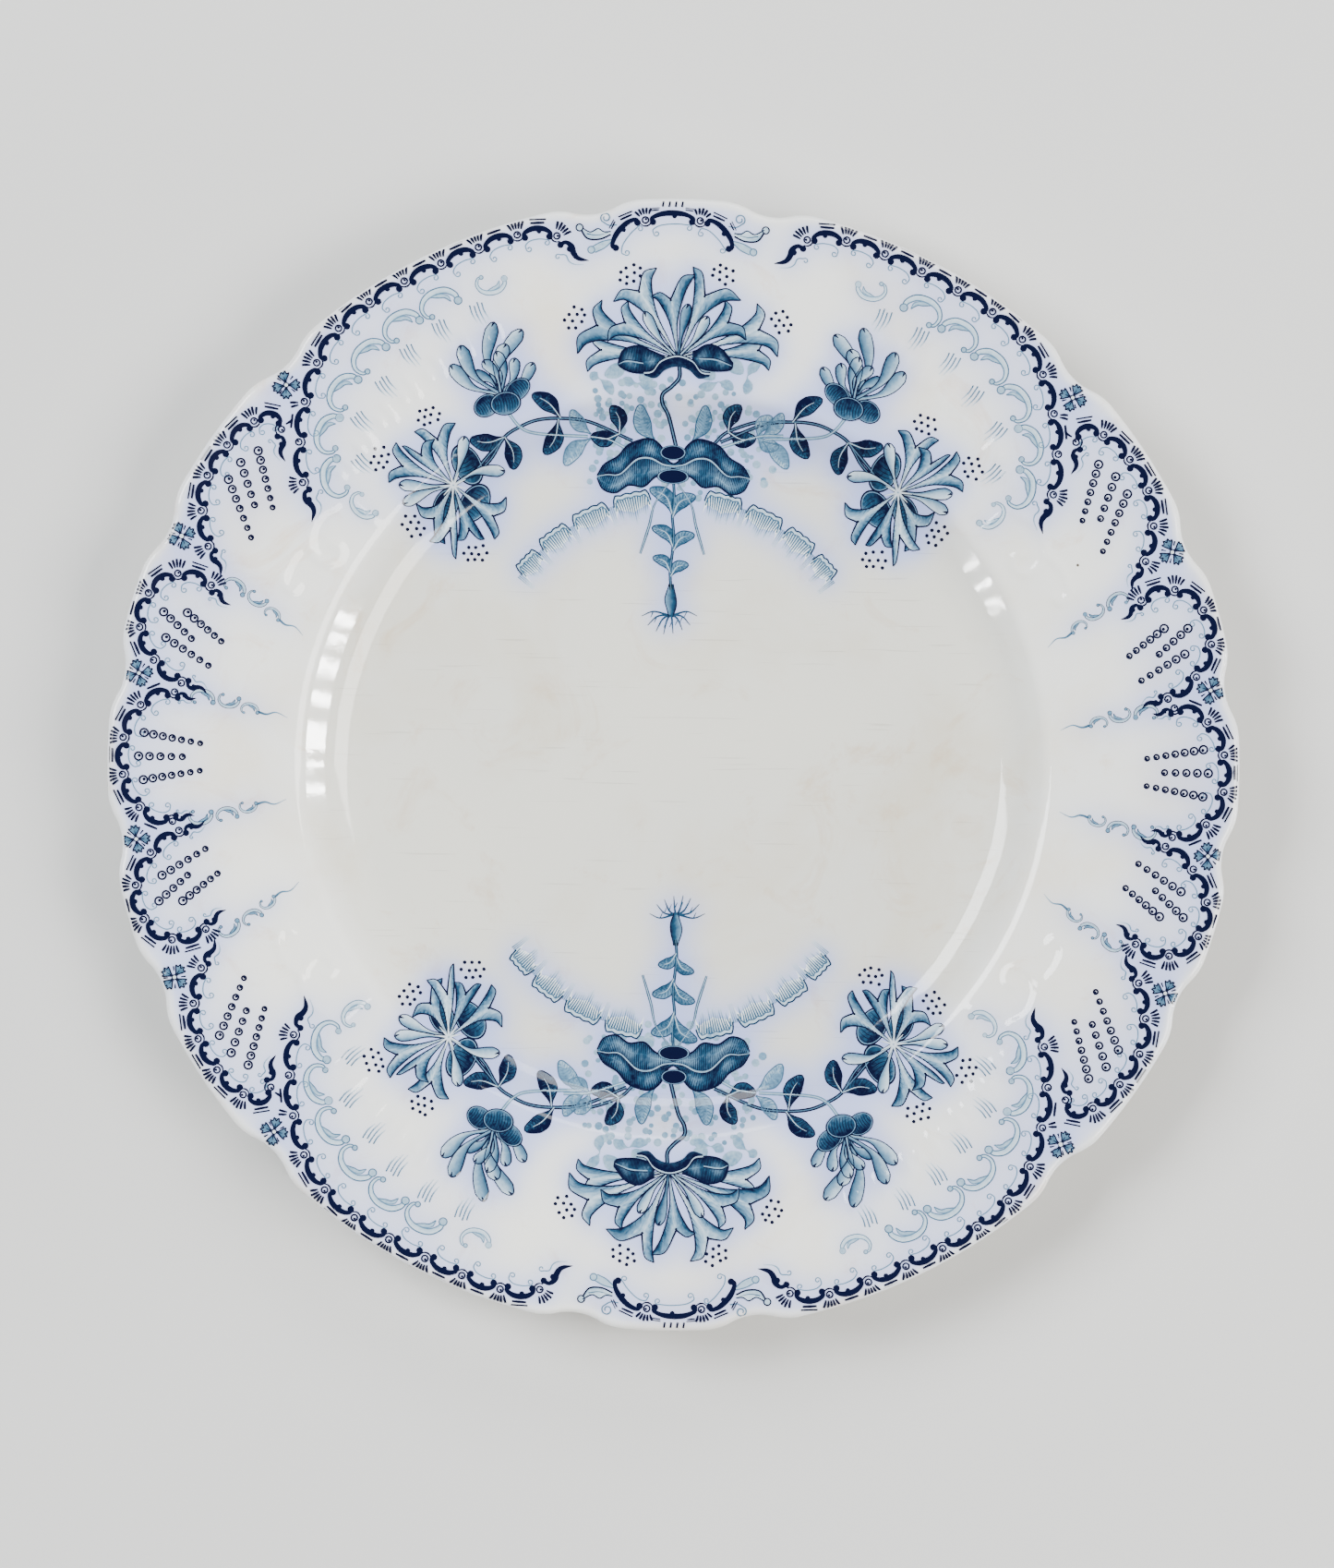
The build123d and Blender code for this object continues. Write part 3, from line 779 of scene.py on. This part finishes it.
def top_flower(pen):
    base = -0.5 + 95.1j
    for group in ((-11.9 + 114.3j, 30), (9.8 + 114.6j, -30), (-24.7 + 103.9j, 55), (23.6 + 103.7j, -55)):
        dots(pen, *group)
    for start, fork, tips in (
        (-12 + 94j, -17.6 + 90.6j, (-20.8 + 91.4j, -15.6 + 86.2j)),
        (-6 + 92.5j, -9.4 + 89.6j, (-13.2 + 90.2j, -6 + 87.4j)),
        (4 + 93j, 8.2 + 90.2j, (4.4 + 88.4j, 12.6 + 87.8j)),
        (10 + 95j, 14.8 + 91.6j, (18.8 + 94.2j, 15.4 + 86.8j)),
    ):
        petal(pen, start, fork, 3.4, 0.05, 0.42, 0.06)
        for tip in tips:
            petal(pen, fork * 1.2 - start * 0.2, tip, 2.3, 0.1, 0.44, 0.06)
    forks = [
        (-18.7 + 96.6j, -20.2 + 99.6j, -21.6 + 91.5j),
        (18.4 + 97.1j, 17.6 + 100.8j, 20.8 + 92.4j),
        (-19.6 + 102.3j, -18.4 + 108.2j, -24 + 95.6j),
        (18.4 + 101.9j, 17.8 + 107.9j, 22.8 + 95.6j),
        (-13.1 + 103.1j, -12.4 + 108j, -17 + 98.6j),
        (11.2 + 103.5j, 10.4 + 108.5j, 15.4 + 99.4j),
        (-9.9 + 110.4j, -5.8 + 115.8j, -15.8 + 107.8j),
        (5.6 + 109.6j, 2.7 + 116.2j, 14 + 108.6j),
        (-2.4 + 108.6j, 3.2 + 114.4j, -6.9 + 109.2j),
    ]
    for k, (fork, *tips) in enumerate(forks):
        pen.level = k
        floret(pen, base, fork, tips, 0.25 + 0.06 * (k % 3), 1.35)
    pen.level = 9
    buds = [(1.8 + 107.6j, 0.02, 0.45), (6.4 + 104.8j, -0.06, 0.2), (-8.5 + 105.6j, 0.06, 0.2)]
    for tip, bend, ink in buds:
        bud(pen, base, tip, 2.3, bend, ink)
    pen.level = 10
    west = [-14.4 + 93.8j, -13.3 + 96.6j, -10 + 97.7j, -6.8 + 96.6j, -3.6 + 95.3j]
    east = [12.4 + 94j, 9.7 + 97.2j, 6.4 + 98.2j, 2.9 + 96.2j]
    for top, *low in (
        (west, -14 + 92.8j, -11.4 + 91.6j, -7.8 + 91.6j),
        (east, 11.6 + 92.4j, 7.2 + 92.2j, 3.6 + 93.3j),
    ):
        ruffle(pen, top, [top[0], *low, top[-1] - 1.4j], 0.72, 15)
        fold = [top[0] * 0.6 + low[0] * 0.4, (top[1] + low[1]) / 2, (top[2] + 2 * low[2]) / 3]
        pen.stroke(fold, [0.12, 0.3, 0.2], 0.45, 5)
        pen.stroke(np.array(fold) + 0.3j, 0.2, 0.98, 5)
    arch = [-8.4 + 91.4j, -6.4 + 91.8j, -4.4 + 94.2j, -0.6 + 95.4j, 3 + 94.2j, 5 + 91.8j, 7.2 + 91.4j]
    under = [-8.2 + 90.8j, -5.6 + 90.3j, -3.4 + 92.2j, -0.6 + 93j, 2.2 + 92.2j, 4.4 + 90.3j, 6.9 + 90.8j]
    arch, under = smooth(arch), smooth(under)
    pen.level = 12
    pen.between(arch, under, lambda u, v: 0.97 - 0.1 * u, 2)
    pen.stroke(arch, 0.3, 0.34, 4)
    pen.stroke(arch + 0.3j, 0.26, 0.95, 4)
    pen.level = 0
    stalk = [-0.1 + 93.3j, -0.1 + 90.5j, -1.8 + 88.4j, -3.9 + 86.6j, -3.9 + 84.4j, -2.4 + 81.5j]
    stem(pen, [*stalk, -0.6 + 74.7j], 1.0)


def bud_flower(pen):
    """The spray of closed flowers to the north-west of the leaf."""
    base = -41.7 + 85.9j
    tips = [-53.6 + 92.4j, -34.2 + 93.4j, -43.6 + 102.6j, -48.4 + 90.6j, -37 + 101j]
    tips += [-38.6 + 94.4j, -51.4 + 97j, -43 + 95.8j, -40.6 + 97.6j, -46 + 93.6j]
    for k, tip in enumerate(tips):
        pen.level = 0.7 * k
        bud(pen, base, tip, 3.1 if abs(tip - base) > 11 else 2.5, 0.14 * (-1) ** k, 0.26 + 0.04 * (k % 4))
    pen.level = 8
    for sepal in ((-45 + 83.2j, 2.9, 2.3, 35), (-37.9 + 87j, 3.1, 2.1, 40), (-40.6 + 83.8j, 3.3, 2.5, 12)):
        cushion(pen, *sepal, 0.8)
        pen.level += 1
    pen.level = 0
    stem(pen, [-41 + 83j, -39.6 + 81.2j, -37 + 78.3j, -33 + 77j, -21.3 + 76.6j], 0.8, 0.56, 0.3)
    branch = [-47 + 67.6j, -43.8 + 71j, -40.7 + 76j, -37 + 78.5j, -33 + 80.1j, -27.6 + 80.6j, -20.7 + 79.9j]
    stem(pen, [*branch, -10.8 + 75.8j], 0.85)
    for start, tip, bend in (
        (-40.7 + 76j, -48.8 + 75.2j, 0.12),
        (-40.7 + 76j, -38.6 + 68.6j, 0.12),
        (-27.6 + 80.6j, -34.4 + 86j, -0.1),
        (-28.2 + 80.4j, -31.4 + 72.3j, 0.1),
    ):
        leaf(pen, start, tip, 3.9, bend, 0.8)
    leaf(pen, -20.6 + 77.2j, -25.2 + 82.6j, 3.2, 0.1, 0.42, None)
    leaf(pen, -20.6 + 76.2j, -26.6 + 69.8j, 3.6, -0.1, 0.42, None)


def side_flower(pen):
    """The flower at the west end of the spray."""
    centre = -52.6 + 64.6j
    for group in ((-58.5 + 80.4j, 20), (-69.7 + 70.4j, 70), (-61.8 + 54.9j, -50), (-47.3 + 48.8j, 0)):
        dots(pen, *group)
    for sepal in ((-49.4 + 69.4j, 4.6, 3, -62), (-47.6 + 60.6j, 4.4, 3, 60), (-54.4 + 59.6j, 4, 2.6, 70)):
        cushion(pen, *sepal, 0.82)
    forks = [
        (-56.4 + 75.2j, -61.8 + 76.8j, -52.2 + 79j, 0.22),
        (-60.2 + 71.4j, -64.6 + 73.4j, -57 + 75.2j, 0.28),
        (-64.6 + 68.8j, -66 + 74.2j, -67.6 + 64.8j, 0.24),
        (-57.1 + 56.7j, -61.2 + 60.1j, -54.4 + 50.9j, 0.26),
        (-53.2 + 54.4j, -58 + 51.4j, -51.8 + 47.4j, 0.12),
        (-48.8 + 54.4j, -51.6 + 51.8j, -45.2 + 52.2j, 0.34),
        (-43.2 + 57.6j, -40.2 + 62.2j, -42.8 + 52.2j, 0.24),
    ]
    for k, (fork, *tips, ink) in enumerate(forks):
        pen.level = 1 + k
        floret(pen, centre, fork, tips, ink + 0.08, 1.3)
    pen.level = 8
    buds = [(-65.2 + 64.4j, 0.03), (-64.2 + 59.9j, -0.05), (-40.6 + 68.2j, 0.12), (-50 + 76j, -0.03)]
    for tip, bend in buds:
        bud(pen, centre, tip, 2.6, bend, 0.18)
        pen.level += 1
    for k in range(9):
        way = np.exp(1j * np.radians(20 + 40 * k))
        pen.stroke([centre + 0.2 * way, centre + 3.2 * way * np.exp(0.12j)], [0.5, 0.36, 0.1], 0.14, 4)
    pen.level = 0
    stem(pen, [centre + 3 + 2j, -47.6 + 68j, -44.5 + 71.6j, -40.6 + 76.1j], 0.9)


def ruffle(pen, top, low, ink, ripple):
    """A wing of a broad leaf, from its top line to its lower one, ribbed from both edges."""
    top, low = evenly(smooth(top), 40), evenly(smooth(low), 40)
    grain = mottle((9, 40), 0.04)

    def tone(u, v):
        edge = (2 * u - 1) ** 2
        return ink + 0.2 * edge + 0.12 * np.sin(ripple * v) * (1 - edge) + grain

    pen.between(top, low, tone, 1, 8, 40)
    for k in range(2, 39):
        pen.stroke([top[k], top[k] * 0.45 + low[k] * 0.55], [0.22, 0.1], 0.97)
        pen.stroke([low[k], low[k] * 0.6 + top[k] * 0.4], [0.22, 0.08], 0.95)
    pen.stroke(top, [0.3, 0.4, 0.4], 0.98, 4)
    pen.stroke(low, [0.3, 0.4, 0.4], 0.98, 4)


def leaf_pair(pen, spot, turn, size=1.0, ink=0.8):
    """Two small leaves that open from a branch."""
    with pen.placed(spot, turn, size):
        leaf(pen, 0, 5.4 + 4j, 3.7, 0.14, ink, 0.3 if ink > 0.6 else None)
        leaf(pen, 0, 5.0 - 4.4j, 3.7, -0.14, ink, 0.3 if ink > 0.6 else None)


def on_side(side, line):
    """The line, or for side -1 its mirror image across the middle of the spray."""
    return [side * (p.real + 1.1) - 1.1 + 1j * p.imag for p in line]


def double_leaf(pen):
    """The broad leaf with two wings that the sprays hang from, and its branches."""
    wing = [-19 + 67.6j, -17.4 + 70.2j, -14.2 + 72.2j, -11.6 + 75j, -7 + 76.4j, -4.2 + 74.8j, -2.4 + 71.4j]
    wing += [-1.1 + 70.5j]
    fold = [-19 + 67.4j, -16.6 + 67.8j, -13.6 + 68j, -9.8 + 71.4j, -6.6 + 71.8j, -3.6 + 70.4j, -1.1 + 70j]
    belly = [-19 + 67j, -17.6 + 64.4j, -14.6 + 63.6j, -11.6 + 65.4j, -8 + 65.2j, -5.4 + 67.4j, -1.1 + 69.5j]
    pen.level = 2
    for side in (1, -1):
        top, crease, low = (on_side(side, line) for line in (wing, fold, belly))
        ruffle(pen, top, crease, 0.74, 16)
        ruffle(pen, crease, low, 0.62, 13)
        pen.stroke(crease, [0.14, 0.3, 0.36, 0.3], 0.42, 5)
    around = circle(24)
    for spot, half in ((-1.3 + 73.2j, 2.7), (-1.2 + 67.6j, 3.3)):
        oval = half * around.real + 1.55j * around.imag
        pen.patch(spot + np.stack([0 * oval, oval]), 0.98, 5)
        pen.patch(spot + np.stack([oval, 1.08 * oval]), 0.5, 5)
        pen.patch(spot + np.stack([1.08 * oval, 1.15 * oval]), 0.95, 5)
    pen.level = 0
    leaf(pen, -5.5 + 75.6j, -9.2 + 84.2j, 3.9, 0.12, 0.48, None)
    leaf(pen, 3.2 + 75.8j, 6.2 + 84.2j, 3.5, -0.12, 0.48, None)
    stem(pen, [-12.6 + 74.2j, -16.4 + 76j, -20.6 + 76.6j], 0.8, 0.56, 0.3)
    stem(pen, [8.5 + 75.6j, 11.5 + 78.2j, 18.7 + 80.6j, 26.5 + 80.6j], 0.85)
    stem(pen, [9.7 + 74.5j, 18.7 + 77.2j, 24.5 + 77.4j], 0.8, 0.56, 0.3)
    leaf_pair(pen, -13.9 + 77.4j, 2.6)
    leaf_pair(pen, 11.6 + 78.2j, 0.5)
    leaf_pair(pen, 18.4 + 77.2j, 0.3, 0.85, 0.42)


def east_spray(pen):
    """What the branches of the double leaf carry on the east side: the west side's flowers, mirrored."""
    with pen.placed(-1.0, np.pi, 1, True):
        bud_flower(pen)
        side_flower(pen)


def pendant(pen):
    """The leafy stem that hangs into the well, with its swollen foot and roots."""
    stalk = [-1.1 + 67j, -0.8 + 62j, -1.2 + 58.3j, -0.8 + 54j, -1 + 50.3j, -1.5 + 45.4j, -1.2 + 41j]
    stem(pen, stalk, 0.7, 0.85)
    for spot, tip, wide in (
        (-1.2 + 58.3j, -5.4 + 5.6j, 3.4),
        (-0.9 + 50.6j, -5 + 4.2j, 2.9),
        (-1.4 + 44.6j, -4.2 + 3.2j, 2.5),
    ):
        for side in (1, -1):
            slip = 0.4 * side
            end = spot + complex(side * tip.real, tip.imag + 2 * slip)
            leaf(pen, spot + 1j * slip, end, wide, -0.2 * side, 0.56)
    for side in (1, -1):
        line = [-2.2 + 66j, -5.4 + 61j, -6.6 + 56j, -8.6 + 49.4j]
        stem(pen, on_side(side, line), [0.45, 0.4, 0.6, 0.7, 0.5], 0.72, 0.36)
    foot = smooth([-1.2 + 42.4j, -1.3 + 39j, -1.1 + 36.6j, -1.2 + 34.6j])
    v = spaced(len(foot))
    wide = 0.5 + 0.85 * np.sin(np.pi * v) ** 1.5
    pen.between(foot - wide, foot + wide, lambda u, v: 0.5 + 0.4 * u, 2)
    pen.stroke(foot - wide, 0.24, 0.92)
    pen.stroke(foot + wide, 0.24, 0.92)
    roots = [-8 + 34.8j, -6.6 + 32.6j, -4.6 + 31.2j, -2.8 + 30.6j, -0.6 + 30.8j, 1.6 + 31.6j, 3.4 + 32.8j]
    for tip in (*roots, 5 + 35j):
        start = -1.2 + 0.12 * (tip.real + 1.2) + 35.2j
        middle = start * 0.45 + tip * 0.55 + 0.9j
        pen.stroke([start, middle, tip], [0.5, 0.34, 0.14], 0.8)
        pen.stroke([middle, middle - 0.6 - 1.4j], [0.26, 0.1], 0.75)


def shells(pen):
    """Fans with a double wavy edge and fine ribs that fade inwards, on each side of the pendant."""
    for side in (1, -1):

        def arc(reach, degrees):
            line = polar(reach, degrees) + 14j
            return line if side > 0 else -np.conj(line)

        way = 97.5
        turn = spaced(30)
        for wide, reach in ((10.4, 50.6), (10.6, 50.2), (9.4, 49.8), (7.6, 49.2)):
            ends = np.minimum(1, 3.2 * np.sin(np.pi * turn)) ** 0.5
            wave = 0.32 * np.abs(np.sin(4 * np.pi * turn)) + 2.2 * ends - 2.2
            for drop, ink, width in ((0.0, 0.86, 0.36), (1.0, 0.7, 0.28)):
                span = way + 0.4 * drop + (wide - 0.8 * drop) * turn
                pen.stroke(arc(reach + wave - drop, span), width, ink, 4)
            span = way + wide * turn
            deep = 4.6 - 1.6 * np.abs(2 * turn - 1)
            top, low = arc(reach + wave, span), arc(reach + wave - deep, span)
            pen.between(top, low, lambda u, v: 0.3 * (1 - smoothstep(u, 0.3, 1)), 0)
            ribs = int(wide * 1.45)
            for k in range(1, ribs):
                t = k / ribs
                top = reach - 1.1 + np.interp(t, turn, wave)
                foot = 43.4 + rng.uniform(-0.8, 1.2) + 2.4 * abs(2 * t - 1)
                lean = way + wide * (0.5 + (t - 0.5) * 0.9)
                reaches = np.array([top, (top + foot) / 2, foot])
                rib = arc(reaches, np.array([way + wide * t, lean, lean]))
                pen.stroke(rib, [0.34, 0.3, 0.12], [0.74, 0.64, 0.2], 2)
            way += wide + 1.6
            for k in range(3):
                reaches = reach - np.array([1.8, 4, 6.4])
                pen.stroke(arc(reaches, way - 0.8 + 0.5 * (k - 1)), [0.24, 0.12], [0.6, 0.2], 2)


def flecks(pen):
    """Pale dabs scattered behind the leaves."""
    for _ in range(330):
        spot = complex(rng.uniform(-28, 27), rng.uniform(59, 92))
        inside = (spot.real / 28) ** 2 + ((spot.imag - 76) / 15) ** 2
        if inside < rng.uniform(0.7, 1.1) and (abs(spot.real) < 20 or spot.imag < 70):
            pen.disc(spot, rng.uniform(0.55, 1.0), rng.uniform(0.38, 0.52), 0, 9)


def spray(pen):
    flecks(pen)
    top_flower(pen)
    bud_flower(pen)
    side_flower(pen)
    east_spray(pen)
    double_leaf(pen)
    pendant(pen)


# Materials
def new_material(name, **constants):
    made = bpy.data.materials.new(name)
    made.use_nodes = True
    shader = made.node_tree.nodes["Principled BSDF"]
    for socket, value in constants.items():
        shader.inputs[socket].default_value = value
    return made, made.node_tree, shader


def node(tree, kind, sockets=(), **settings):
    """A shader node. Sockets are pairs of an input and the value or output that it takes."""
    made = tree.nodes.new("ShaderNode" + kind)
    for key, value in settings.items():
        setattr(made, key, value)
    for socket, value in sockets:
        if isinstance(value, bpy.types.NodeSocket):
            tree.links.new(value, made.inputs[socket])
        else:
            made.inputs[socket].default_value = value
    return made


def ramp(tree, factor, stops):
    """A colour ramp of (place, red, green, blue), with colours from 0 to 255 as seen on screen."""
    made = node(tree, "ValToRGB", [(0, factor)])
    while len(made.color_ramp.elements) < len(stops):
        made.color_ramp.elements.new(0.5)
    for element, (position, *colour) in zip(made.color_ramp.elements, stops):
        element.position = position
        element.color = screen(*colour)
    return made.outputs["Color"]


def linear(value):
    value /= 255
    return value / 12.92 if value <= 0.04045 else ((value + 0.055) / 1.055) ** 2.4


def screen(red, green, blue):
    return (linear(red), linear(green), linear(blue), 1)


def place(tree):
    return node(tree, "TexCoord").outputs["Object"]


def noise(tree, scale, detail, roughness=0.5, distortion=0.0):
    """Noise over the piece, with its scale in features per metre."""
    sockets = [("Vector", place(tree)), ("Scale", scale), ("Detail", detail), ("Roughness", roughness)]
    return node(tree, "TexNoise", sockets + [("Distortion", distortion)]).outputs["Fac"]


def bump(tree, scale, detail, strength, distance, under=()):
    """Normals of a surface with noise pressed into it, over the normals that are there already."""
    sockets = [("Height", noise(tree, scale, detail)), ("Strength", strength), ("Distance", distance)]
    return node(tree, "Bump", [*sockets, *under]).outputs[0]


def maths(tree, operation, one, other):
    return node(tree, "Math", [(0, one), (1, other)], operation=operation).outputs[0]


def point_value(tree, name):
    return node(tree, "Attribute", attribute_name=name).outputs["Fac"]


def stretched(tree, value, low, high, to_low=0.0, to_high=1.0):
    """The value from low to high, mapped to another range and held at its ends."""
    sockets = [("Value", value), ("From Min", low), ("From Max", high)]
    return node(tree, "MapRange", [*sockets, ("To Min", to_low), ("To Max", to_high)]).outputs["Result"]


def mixed(tree, factor, one, other, blend="MIX"):
    made = node(tree, "Mix", data_type="RGBA", blend_type=blend)
    for socket, value in (("Factor_Float", factor), ("A_Color", one), ("B_Color", other)):
        target = next(s for s in made.inputs if s.identifier == socket)
        if isinstance(value, bpy.types.NodeSocket):
            tree.links.new(value, target)
        else:
            target.default_value = value
    return next(s for s in made.outputs if s.identifier == "Result_Color")


def gloss(tree, shader):
    """The glaze's shine: a little uneven, with the faint waviness of a dipped coat."""
    tree.links.new(stretched(tree, noise(tree, 60, 3), 0.35, 0.7, 0.05, 0.1), shader.inputs["Roughness"])
    waves = bump(tree, 90, 2, 0.16, 0.0006)
    tree.links.new(bump(tree, 1400, 2, 0.05, 0.0001, [("Normal", waves)]), shader.inputs["Normal"])


glaze_white, tree, shader = new_material("glaze_white", IOR=1.5)
cloudy = stretched(tree, noise(tree, 14, 3), 0.35, 0.65)
body_white = mixed(tree, cloudy, screen(238, 238, 231), screen(232, 233, 229))
warm = stretched(tree, noise(tree, 27, 4, 0.6, 0.4), 0.5, 0.7, 0, 0.6)
glaze_colour = mixed(tree, warm, body_white, screen(226, 219, 201))
soil = stretched(tree, noise(tree, 45, 6, 0.7, 1.0), 0.57, 0.72, 0, 0.5)
glaze_colour = mixed(tree, soil, glaze_colour, screen(214, 188, 158))
specks = node(tree, "TexVoronoi", [("Vector", place(tree)), ("Scale", 70.0)])
dark = stretched(tree, specks.outputs["Distance"], 0.018, 0.03, 1, 0)
rare = stretched(tree, noise(tree, 12, 1), 0.56, 0.58)
glaze_colour = mixed(tree, maths(tree, "MULTIPLY", dark, rare), glaze_colour, screen(84, 74, 62))
# Painted shade: the glaze is drawn a little greyer low in the well than up on the rim, for the shade that
# the well holds. The same mask keeps the fine scratches to the well.
height = node(tree, "SeparateXYZ", [(0, place(tree))]).outputs["Z"]
well_shade_and_scratch_mask = stretched(tree, height, 0.0065, 0.0145, 1, 0)
glaze_colour = mixed(tree, well_shade_and_scratch_mask, glaze_colour, screen(232, 231, 226), "MULTIPLY")
drawn_out = node(tree, "Mapping", [(0, place(tree)), ("Rotation", (0, 0, 0.6)), ("Scale", (1, 28, 1))])
hairs = node(tree, "TexNoise", [("Vector", drawn_out.outputs[0]), ("Scale", 55.0), ("Detail", 1.0)])
hairs = stretched(tree, hairs.outputs["Fac"], 0.7, 0.76, 0, 0.3)
glaze_colour = mixed(tree, maths(tree, "MULTIPLY", hairs, well_shade_and_scratch_mask), glaze_colour, screen(150, 144, 132))
glaze_colour = mixed(tree, point_value(tree, "bleed"), glaze_colour, screen(132, 158, 240))
tree.links.new(glaze_colour, shader.inputs["Base Color"])
gloss(tree, shader)

ink_blue, tree, shader = new_material("ink_blue", IOR=1.5)
uneven = stretched(tree, noise(tree, 900, 4, 0.65), 0.3, 0.7, -0.05, 0.05)
strength = maths(tree, "ADD", point_value(tree, "ink"), uneven)
blues = [(0, 229, 234, 237), (0.25, 178, 199, 214), (0.5, 98, 134, 160), (0.75, 30, 66, 92)]
blues += [(0.93, 5, 9, 40)]
tree.links.new(ramp(tree, strength, blues), shader.inputs["Base Color"])
gloss(tree, shader)

biscuit, tree, shader = new_material("biscuit", Roughness=0.75)
clay = mixed(tree, noise(tree, 600, 4, 0.7), screen(226, 215, 192), screen(206, 192, 166))
tree.links.new(clay, shader.inputs["Base Color"])
tree.links.new(bump(tree, 2500, 3, 0.3, 0.0002), shader.inputs["Normal"])

for body in bpy.context.scene.objects:
    if body.type == "MESH" and "earthenware_body" in body.name:
        for slot in body.material_slots:
            slot.material = biscuit

# Pieces
CORNERS = ("corner_north_west", "corner_south_west", "corner_south_east", "corner_north_east")
PRINTS = [
    (corner_scrolls, FOUR_WAYS, CORNERS),
    (side_scrolls, FOUR_WAYS[::2], ("side_west", "side_east")),
    (edge_scrolls, FOUR_WAYS[::2], ("edge_north", "edge_south")),
    (spray, FOUR_WAYS[::2], ("spray_north", "spray_south")),
    (shells, FOUR_WAYS[::2], ("shells_north", "shells_south")),
]
for draw, ways, names in PRINTS:
    for way, name in zip(ways, names):
        pen = Pen()
        with pen.placed(**way):
            draw(pen)
        pen.piece("ink_" + name, "print_" + name, ink_blue)

pen = Pen()
for way in SPRIG_ANGLES:
    with pen.placed(polar(SPRIG_REACH, way), rng.uniform(0, 1.5)):
        sprig(pen)
pen.piece("ink_sprigs", "print_sprigs", ink_blue)

bleed_near, bleed_far = bleed.blurred(1.1), bleed.blurred(3.2)


def bleed_at(points):
    plan = points[:, 0] + 1j * points[:, 1]
    from_edge = PLATE_R - rim_inset(np.degrees(np.angle(plan))) - np.abs(plan)
    blue = 0.8 * bleed_near.at(plan) + 2.6 * bleed_far.at(plan)
    blue = 0.7 * (1 - np.exp(-1.6 * np.clip(blue, 0, 3))) * (0.3 + 0.7 * smoothstep(from_edge, 0.5, 3))
    return blue * (points[:, 2] > face_height(plan) - 0.5)


def on_plate(line, degrees, row, face_rows=len(face_top)):
    """The turned section's points, round the axis, drawn in to the lobed edge and moulded on the face."""
    under = np.clip((blank_top(line.real) - line.imag) / RIM_THICKNESS, 0, 1)
    inset = rim_inset(degrees + 0 * line.real) * smoothstep(line.real, 112, 124)
    plan = polar(line.real - inset, degrees)
    height = line.imag - inset * (RIM_SLOPE + (UNDER_SLOPE - RIM_SLOPE) * under)
    height = height + np.where(row < face_rows, relief(plan), 0)
    return np.stack([plan.real, plan.imag, height], -1)


def under_plate(line, degrees, row):
    return on_plate(line, degrees, row, 0)


main = turned("glaze_main", FACE, 1080, on_plate, bleed_at)
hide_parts("main_glaze")
foot_corner = (FOOT_IN - FOOT_FLARE, BASE_Z, 0.6, 0.4)
base_line = section([(inner_cut, DRY_FOOT, 0, 0), foot_corner, (0, BASE_Z, 0, 2.5)])
base = turned("glaze_base", base_line, 360, under_plate, lambda points: 0 * points[:, 0])
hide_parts("base_glaze")
for coat in (main, base):
    coat.data.materials.append(glaze_white)

# Floor, light and camera
floor_mesh = bpy.data.meshes.new("floor")
floor_mesh.from_pydata([(-3, -3, 0), (3, -3, 0), (3, 3, 0), (-3, 3, 0)], [], [(0, 1, 2, 3)])
floor = added("floor", floor_mesh)
paper, tree, shader = new_material("paper", **{"Roughness": 0.9, "Base Color": screen(205, 205, 203)})
floor_mesh.materials.append(paper)


def panel(name, at, size, watts, colour=(1, 1, 1)):
    """A soft rectangular light that faces the plate."""
    lamp = bpy.data.lights.new(name, "AREA")
    lamp.shape, lamp.size, lamp.size_y = "RECTANGLE", *size
    lamp.energy, lamp.color = watts, colour
    holder = added(name, lamp)
    holder.location = at
    holder.rotation_euler = Vector(at).to_track_quat("Z", "Y").to_euler()


panel("key_left", (-1.5, 0.7, 1.9), (1.2, 1.2), 104, (0.95, 0.975, 1))
panel("fill_right", (1.4, -0.5, 1.8), (1.4, 1.2), 78, (1, 0.975, 0.93))
panel("back_fill", (0.2, 2.0, 1.6), (1.6, 0.8), 31, (0.97, 0.98, 1))

# Narrow panes low over the table, whose reflections break the highlight along the verge.
PANES = [(-23, 0.07, 0.26), (-19.5, 0.05, 0.16), (-15, 0.08, 0.26), (-9.5, 0.09, 0.28), (-3.6, 0.1, 0.24)]
PANES += [(0.2, 0.05, 0.16), (5, 0.08, 0.2), (207, 0.03, 0.1), (211, 0.04, 0.16), (216, 0.03, 0.1)]
for k, (azimuth, wide, tall) in enumerate(PANES):
    way = polar(2.4, azimuth)
    panel(f"pane_{k}", (way.real, way.imag, 0.36), (wide, tall), 420 * wide * tall)

world = bpy.data.worlds.new("world")
world.use_nodes = True
sky = world.node_tree.nodes["Background"]
sky.inputs["Color"].default_value = (0.82, 0.85, 0.9, 1)
sky.inputs["Strength"].default_value = 0.17
bpy.context.scene.world = world

TILT = np.radians(0.93)
aim = complex(-1.5, -4.5) * np.exp(1j * TILT) * MM
lens = bpy.data.cameras.new("camera")
lens.lens, lens.sensor_width = 234.3, 36
camera = added("camera", lens)
camera.location = (aim.real, aim.imag, 2.4)
camera.rotation_euler = (0, 0, TILT)
bpy.context.scene.camera = camera
